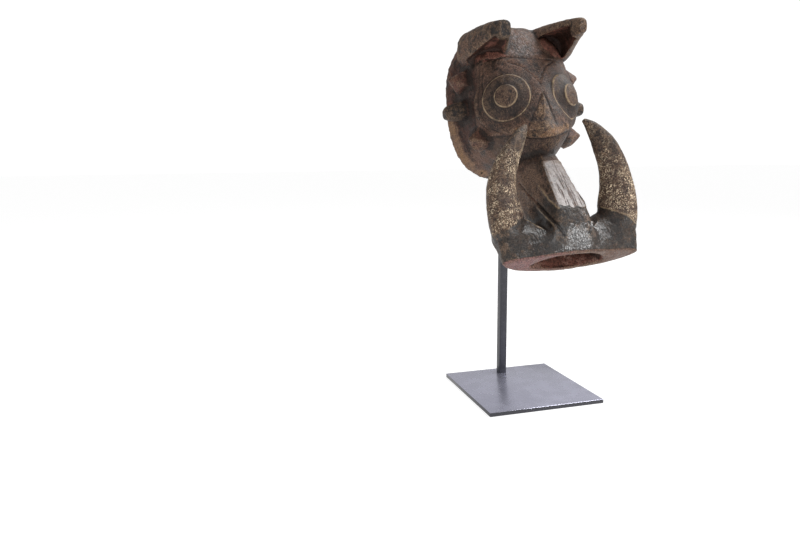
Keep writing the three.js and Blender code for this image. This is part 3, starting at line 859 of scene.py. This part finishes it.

    # scratches, painted shade and grime in the hollows and the cuts beside the nose, proud edges, specks
    tinted(times(scratch, 0.3), "bare")
    # painted shade with grime: dark wood laid into hollows and into the cuts beside the nose
    shadeAndGrime = most(ramp(wearAndShade, -0.1, -0.6), ramp(proud, -1.0, -5.0))
    tinted(times(most(shadeAndGrime, field("noseSide")), 0.85), "woodDark")
    edge = times(ramp(wearAndShade, 0.25, 0.8), ramp(mottle, 0.42, 0.58))
    tinted(times(edge, 0.6), "bare")
    specked = less(1.0, times(most(most(hollow, ridge), times(rim, 0.6)), 0.75))
    base = blended(tree, specked, base, ramp(grit, 0.34, 0.66, 0.4, 1.6), "MULTIPLY")

    # pale cut lines, pale edge lines with a painted highlight on the left tusk's edge, and the red groove
    broken = times(ramp(blotch, 0.38, 0.54, 0.35, 1.0), ramp(mottle, 0.36, 0.54, 0.35, 1.0))
    lines = ramp(field("lineGap"), 1.8, 0.8)
    for ring in maskForm["eyeRings"][:2]:
        lines = most(lines, ramp(calc(tree, "ABSOLUTE", less(radius, ring)), 1.2, 0.3))
    tinted(times(times(lines, broken), 0.9), "line")
    # pale edge lines: wear, with a painted highlight along the left tusk's inner edge and web
    paleEdge = times(ramp(field("paleEdgeGap"), 1.5, 0.5), ramp(blotch, 0.34, 0.5, 0.4, 1.0))
    paleEdge = times(paleEdge, ramp(mottle, 0.36, 0.54, 0.3, 1.0))
    tinted(times(paleEdge, 0.75), "line")
    tinted(times(ramp(field("redGap"), 1.6, 0.6), times(broken, 0.8)), "red")
    tree.links.new(base, shader.inputs["Base Color"])

    # gloss: handled wood and old paint, dull where chalky, and a coat on the muzzle's middle
    gloss = plus(ramp(patchy, 0.4, 0.6, 0.38, 0.62), times(chalk, 0.3))
    tree.links.new(gloss, shader.inputs["Roughness"])
    coat = times(muzzle, ramp(blotch, 0.36, 0.56, 0.3, 1.0))
    coat = times(coat, ramp(calc(tree, "ABSOLUTE", across), 0.008, 0.06, 1.0, 0.25))
    tree.links.new(times(coat, ramp(height, 0.30, 0.255, 0.15, 1.0)), shader.inputs["Coat Weight"])
    shader.inputs["Coat Roughness"].default_value = settings["coatRough"]
    shader.inputs["Coat IOR"].default_value = settings["coatIor"]
    beads = stretched(tree, place, (1.0, 0.3, 1.0), settings["snoutTurn"])
    pebble = noiseOf(tree, beads, settings["pebble"], 2.0)
    beaded = put(tree, "ShaderNodeBump",
                 {"Strength": 1.0, "Distance": settings["pebbleDepth"], "Height": pebble})
    tree.links.new(beaded.outputs[0], shader.inputs["Coat Normal"])

    # relief too fine for the mesh
    relief = plus(times(grit, 0.12), times(grain, 0.12))
    relief = plus(relief, times(mottle, plus(times(muzzle, 0.3), 0.8)))
    relief = plus(relief, times(times(hatch, plus(crown, throat)), 0.3))
    relief = plus(relief, times(times(cracks, ridge), 0.5))
    relief = plus(relief, times(chalk, 0.15))
    relief = less(relief, times(scratch, 0.06))
    bump = put(tree, "ShaderNodeBump", {"Strength": settings["reliefStrength"],
               "Distance": settings["reliefDepth"], "Height": relief})
    tree.links.new(bump.outputs[0], shader.inputs["Normal"])
    return material


mask = carveMask()
seated(mask, "mask", maskMaterial())
print("mask finished")

# stand: square bar and foot plate with slightly eased edges
standPieces = {
    "stand_rod": {"name": "standRod", "edge": 0.0006, "slot": "rod_steel",
                  "colour": (0.034, 0.034, 0.042, 1), "patch": 1.5, "metal": 0.3, "dull": (0.36, 0.5),
                  "sideBelow": -1.0},
    # the foot plate's pale bluish metal top is a painted reflection of the bright room on a dark painted
    # sheet
    "base_plate": {"name": "footPlate", "edge": 0.0007, "slot": "plate_steel",
                   "colour": (0.66, 0.66, 0.80, 1), "patch": 1.08, "metal": 0.85, "dull": (0.22, 0.3),
                   "sideBelow": 0.0058},
}
steelFinish = {
    "blotch": 40.0, "grit": 900.0, "bevelSteps": 3, "smoothBelow": math.radians(35),
    "scratched": (0.2, 0.2, 0.22, 1), "scratchShare": 0.25, "sheetSide": (0.03, 0.03, 0.04, 1),
    "reliefStrength": 0.15, "reliefDepth": 0.0002,
}


def steelMaterial(values):
    settings = steelFinish
    material = bpy.data.materials.new(values["name"] + "Steel")
    material.use_nodes = True
    tree = material.node_tree
    shader = tree.nodes["Principled BSDF"]
    place = put(tree, "ShaderNodeTexCoord").outputs["Object"]
    blotch, grit, scratch = finishOn(tree, place, settings["blotch"], settings["grit"])
    lighter = tuple(min(1, c * values["patch"]) for c in values["colour"][:3]) + (1,)
    base = blended(tree, between(tree, blotch, 0.35, 0.7), values["colour"], lighter)
    scratched = calc(tree, "MULTIPLY", scratch, settings["scratchShare"])
    base = blended(tree, scratched, base, settings["scratched"])
    # the sheet's sides are dark; the foot plate's pale bluish metal top is a painted reflection
    height = put(tree, "ShaderNodeSeparateXYZ", {0: place}).outputs[2]
    onTop = between(tree, height, values["sideBelow"] - 0.0002, values["sideBelow"] + 0.0001)
    base = blended(tree, onTop, settings["sheetSide"], base)
    tree.links.new(base, shader.inputs["Base Color"])
    tree.links.new(calc(tree, "MULTIPLY", onTop, values["metal"]), shader.inputs["Metallic"])
    low, high = values["dull"]
    tree.links.new(between(tree, blotch, 0.3, 0.7, low, high), shader.inputs["Roughness"])
    bump = put(tree, "ShaderNodeBump", {"Strength": settings["reliefStrength"],
               "Distance": settings["reliefDepth"], "Height": grit})
    tree.links.new(bump.outputs[0], shader.inputs["Normal"])
    return material


for nodeName, values in standPieces.items():
    piece = copyOfNode(nodeName, values["name"])
    applied(piece, "BEVEL", width=values["edge"], segments=steelFinish["bevelSteps"], limit_method="ANGLE")
    bpy.ops.object.shade_smooth_by_angle(angle=steelFinish["smoothBelow"])
    seated(piece, nodeName, steelMaterial(values))
print("stand finished")

# floor and light
studio = {
    "floorSize": 40.0, "floorColour": (0.42, 0.42, 0.42, 1), "floorGlow": 0.8,
    "floorRough": 0.9, "floorShine": 0.1, "skyLight": 0.42, "skySeen": 1.05,
    "lamps": (
        # name, place, size, watts
        ("keyLamp", (1.15, -0.12, 1.8), 1.2, 36.0),
        ("fillLamp", (-1.3, -1.5, 1.1), 1.2, 5.5),
        ("frontLamp", (0.80, -1.42, 0.52), 0.36, 6.0),
    ),
    "aim": (0, -0.03, 0.36),
}


def lightStudio():
    bpy.ops.object.select_all(action="DESELECT")
    bpy.ops.mesh.primitive_plane_add(size=studio["floorSize"])
    floor = bpy.context.object
    floor.name = "paleFloor"
    material = bpy.data.materials.new("palePaper")
    material.use_nodes = True
    shader = material.node_tree.nodes["Principled BSDF"]
    shader.inputs["Base Color"].default_value = studio["floorColour"]
    shader.inputs["Roughness"].default_value = studio["floorRough"]
    shader.inputs["Specular IOR Level"].default_value = studio["floorShine"]
    shader.inputs["Emission Color"].default_value = (1, 1, 1, 1)
    shader.inputs["Emission Strength"].default_value = studio["floorGlow"]
    floor.data.materials.append(material)
    for name, place, size, watts in studio["lamps"]:
        bpy.ops.object.light_add(type="AREA", location=place)
        lamp = bpy.context.object
        lamp.name = name
        lamp.data.size = size
        lamp.data.energy = watts
        lamp.rotation_euler = (Vector(place) - Vector(studio["aim"])).to_track_quat("Z", "Y").to_euler()
    world = bpy.data.worlds.new("whiteRoom")
    world.use_nodes = True
    tree = world.node_tree
    sky = tree.nodes["Background"]
    sky.inputs["Color"].default_value = (1, 1, 1, 1)
    seen = put(tree, "ShaderNodeLightPath").outputs["Is Camera Ray"]
    strength = between(tree, seen, 0.0, 1.0, studio["skyLight"], studio["skySeen"])
    tree.links.new(strength, sky.inputs["Strength"])
    bpy.context.scene.world = world
    bpy.context.scene.view_settings.view_transform = "Standard"


lightStudio()
print("studio lit")
